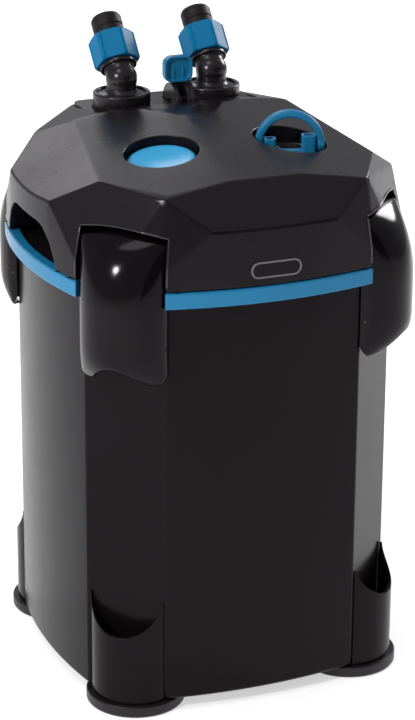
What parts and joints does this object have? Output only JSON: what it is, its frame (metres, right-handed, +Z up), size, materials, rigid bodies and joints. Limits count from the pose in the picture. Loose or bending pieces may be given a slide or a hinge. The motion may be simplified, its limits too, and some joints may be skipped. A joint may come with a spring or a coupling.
{
  "type": "canister filter",
  "caption": "Square canister water filter with a faceted head, corner latches, priming button, bail-handled pre-filter, swivelling hose elbows and stacked media baskets",
  "frame": {"origin": "On the floor, at the middle of the footprint of the four feet; +Z up, the front with the badge facet faces -Y", "axes": "+X to the right seen from the front, +Y to the hose nozzles at the back, +Z up"},
  "size_m": [0.24, 0.24, 0.414],
  "materials": {
    "casing": "gloss moulded",
    "head": "satin moulded",
    "latch": "high gloss moulded",
    "accent": "blue, moulded",
    "dark_part": "moulded",
    "rubber": "moulded",
    "steel": "drawn",
    "basket": "moulded",
    "media": "porous block",
    "foam": "open-cell foam",
    "pump_part": "moulded",
    "magnet": "ground ferrite",
    "impeller": "moulded"
  },
  "bodies": {
    "canister": {"canister": "casing", "corner_leg_front_right": "casing", "corner_leg_back_right": "casing", "corner_leg_back_left": "casing", "corner_leg_front_left": "casing", "foot_front_right": "rubber", "foot_back_right": "rubber", "foot_back_left": "rubber", "foot_front_left": "rubber", "riser_pipe": "pump_part"},
    "basket_1": {"media_basket_1": "basket", "media_block_1": "media"},
    "basket_2": {"media_basket_2": "basket", "media_block_2": "media"},
    "basket_3": {"media_basket_3": "basket", "media_block_3": "media"},
    "head": {"head_cover": "head", "head_base": "dark_part", "head_gasket": "rubber", "seam_band": "accent", "cable_gland": "rubber", "nozzle_plate": "head", "hose_socket_left": "dark_part", "hose_socket_right": "dark_part", "pump_stator": "pump_part", "impeller_cover": "pump_part", "priming_spring": "steel", "latch_pivot_pin_front_right": "steel", "latch_pivot_pin_back_right": "steel", "latch_pivot_pin_back_left": "steel", "latch_pivot_pin_front_left": "steel"},
    "latch_front_right": {"latch_lever_front_right": "latch", "latch_hook_pin_front_right": "dark_part"},
    "hook_front_right": {"latch_hook_front_right": "dark_part"},
    "latch_back_right": {"latch_lever_back_right": "latch", "latch_hook_pin_back_right": "dark_part"},
    "hook_back_right": {"latch_hook_back_right": "dark_part"},
    "latch_back_left": {"latch_lever_back_left": "latch", "latch_hook_pin_back_left": "dark_part"},
    "hook_back_left": {"latch_hook_back_left": "dark_part"},
    "latch_front_left": {"latch_lever_front_left": "latch", "latch_hook_pin_front_left": "dark_part"},
    "hook_front_left": {"latch_hook_front_left": "dark_part"},
    "priming_button": {"priming_button": "accent", "priming_plunger": "dark_part"},
    "prefilter": {"prefilter_strainer": "pump_part", "prefilter_foam": "foam"},
    "prefilter_cap": {"prefilter_cap": "dark_part", "bail_bracket": "accent"},
    "bail": {"bail_handle": "accent"},
    "valve": {"valve_lever": "accent", "valve_spindle": "pump_part"},
    "elbow_left": {"hose_elbow_left": "dark_part", "hose_tail_left": "dark_part"},
    "nut_left": {"hose_nut_left": "accent"},
    "elbow_right": {"hose_elbow_right": "dark_part", "hose_tail_right": "dark_part"},
    "nut_right": {"hose_nut_right": "accent"},
    "rotor": {"rotor_magnet": "magnet", "impeller": "impeller"}
  },
  "joints": [
    {"name": "head_lift", "type": "slide", "parent": "canister", "child": "head", "axis": [0, 0, 1], "range_m": [0, 0.4]},
    {"name": "basket_1_lift", "type": "slide", "parent": "canister", "child": "basket_1", "axis": [0, 0, 1], "range_m": [0, 0.14]},
    {"name": "basket_2_lift", "type": "slide", "parent": "canister", "child": "basket_2", "axis": [0, 0, 1], "range_m": [0, 0.24]},
    {"name": "basket_3_lift", "type": "slide", "parent": "canister", "child": "basket_3", "axis": [0, 0, 1], "range_m": [0, 0.34]},
    {"name": "latch_swing_front_right", "type": "hinge", "parent": "head", "child": "latch_front_right", "pos_m": [0.08273, -0.08273, 0.302], "axis": [-0.7071, -0.7071, 0], "range_deg": [0, 22]},
    {"name": "hook_swing_front_right", "type": "hinge", "parent": "latch_front_right", "child": "hook_front_right", "pos_m": [0.08683, -0.08683, 0.249], "axis": [-0.7071, -0.7071, 0], "range_deg": [-9, 0]},
    {"name": "latch_swing_back_right", "type": "hinge", "parent": "head", "child": "latch_back_right", "pos_m": [0.08273, 0.08273, 0.302], "axis": [0.7071, -0.7071, 0], "range_deg": [0, 22]},
    {"name": "hook_swing_back_right", "type": "hinge", "parent": "latch_back_right", "child": "hook_back_right", "pos_m": [0.08683, 0.08683, 0.249], "axis": [0.7071, -0.7071, 0], "range_deg": [-9, 0]},
    {"name": "latch_swing_back_left", "type": "hinge", "parent": "head", "child": "latch_back_left", "pos_m": [-0.08273, 0.08273, 0.302], "axis": [0.7071, 0.7071, 0], "range_deg": [0, 22]},
    {"name": "hook_swing_back_left", "type": "hinge", "parent": "latch_back_left", "child": "hook_back_left", "pos_m": [-0.08683, 0.08683, 0.249], "axis": [0.7071, 0.7071, 0], "range_deg": [-9, 0]},
    {"name": "latch_swing_front_left", "type": "hinge", "parent": "head", "child": "latch_front_left", "pos_m": [-0.08273, -0.08273, 0.302], "axis": [-0.7071, 0.7071, 0], "range_deg": [0, 22]},
    {"name": "hook_swing_front_left", "type": "hinge", "parent": "latch_front_left", "child": "hook_front_left", "pos_m": [-0.08683, -0.08683, 0.249], "axis": [-0.7071, 0.7071, 0], "range_deg": [-9, 0]},
    {"name": "priming_press", "type": "slide", "parent": "head", "child": "priming_button", "axis": [0, 0, -1], "range_m": [0, 0.014], "stiffness_N_per_m": 600, "springref_m": -0.006, "deforming": ["priming_spring"]},
    {"name": "prefilter_lift", "type": "slide", "parent": "head", "child": "prefilter", "axis": [0, 0, 1], "range_m": [0, 0.07]},
    {"name": "prefilter_cap_twist", "type": "hinge", "parent": "prefilter", "child": "prefilter_cap", "pos_m": [0.043, -0.04, 0.34], "axis": [0, 0, 1], "range_deg": [0, 60]},
    {"name": "bail_fold", "type": "hinge", "parent": "prefilter_cap", "child": "bail", "pos_m": [0.043, -0.04, 0.349], "axis": [0.9455, -0.3256, 0], "range_deg": [-75, 75]},
    {"name": "valve_turn", "type": "hinge", "parent": "head", "child": "valve", "pos_m": [0, 0.062, 0.3545], "axis": [1, 0, 0], "range_deg": [0, 60]},
    {"name": "elbow_swivel_left", "type": "hinge", "parent": "head", "child": "elbow_left", "pos_m": [-0.0316, 0.062, 0.3745], "axis": [0, 0, 1], "range_deg": [-15, 90]},
    {"name": "nut_turn_left", "type": "hinge", "parent": "elbow_left", "child": "nut_left", "pos_m": [-0.0316, 0.062, 0.3745], "axis": [0, 0.6691, 0.7431], "continuous": true},
    {"name": "elbow_swivel_right", "type": "hinge", "parent": "head", "child": "elbow_right", "pos_m": [0.0316, 0.062, 0.3745], "axis": [0, 0, 1], "range_deg": [-90, 15]},
    {"name": "nut_turn_right", "type": "hinge", "parent": "elbow_right", "child": "nut_right", "pos_m": [0.0316, 0.062, 0.3745], "axis": [0, 0.6691, 0.7431], "continuous": true},
    {"name": "rotor_spin", "type": "hinge", "parent": "head", "child": "rotor", "pos_m": [0, 0.01, 0.3], "axis": [0, 0, 1], "continuous": true}
  ],
  "couplings": [
    {"joint": "basket_1_lift", "follows": "head_lift", "ratio": 0.35},
    {"joint": "basket_2_lift", "follows": "head_lift", "ratio": 0.6},
    {"joint": "basket_3_lift", "follows": "head_lift", "ratio": 0.85},
    {"joint": "hook_swing_front_right", "follows": "latch_swing_front_right", "ratio": -0.35},
    {"joint": "hook_swing_back_right", "follows": "latch_swing_back_right", "ratio": -0.35},
    {"joint": "hook_swing_back_left", "follows": "latch_swing_back_left", "ratio": -0.35},
    {"joint": "hook_swing_front_left", "follows": "latch_swing_front_left", "ratio": -0.35}
  ]
}
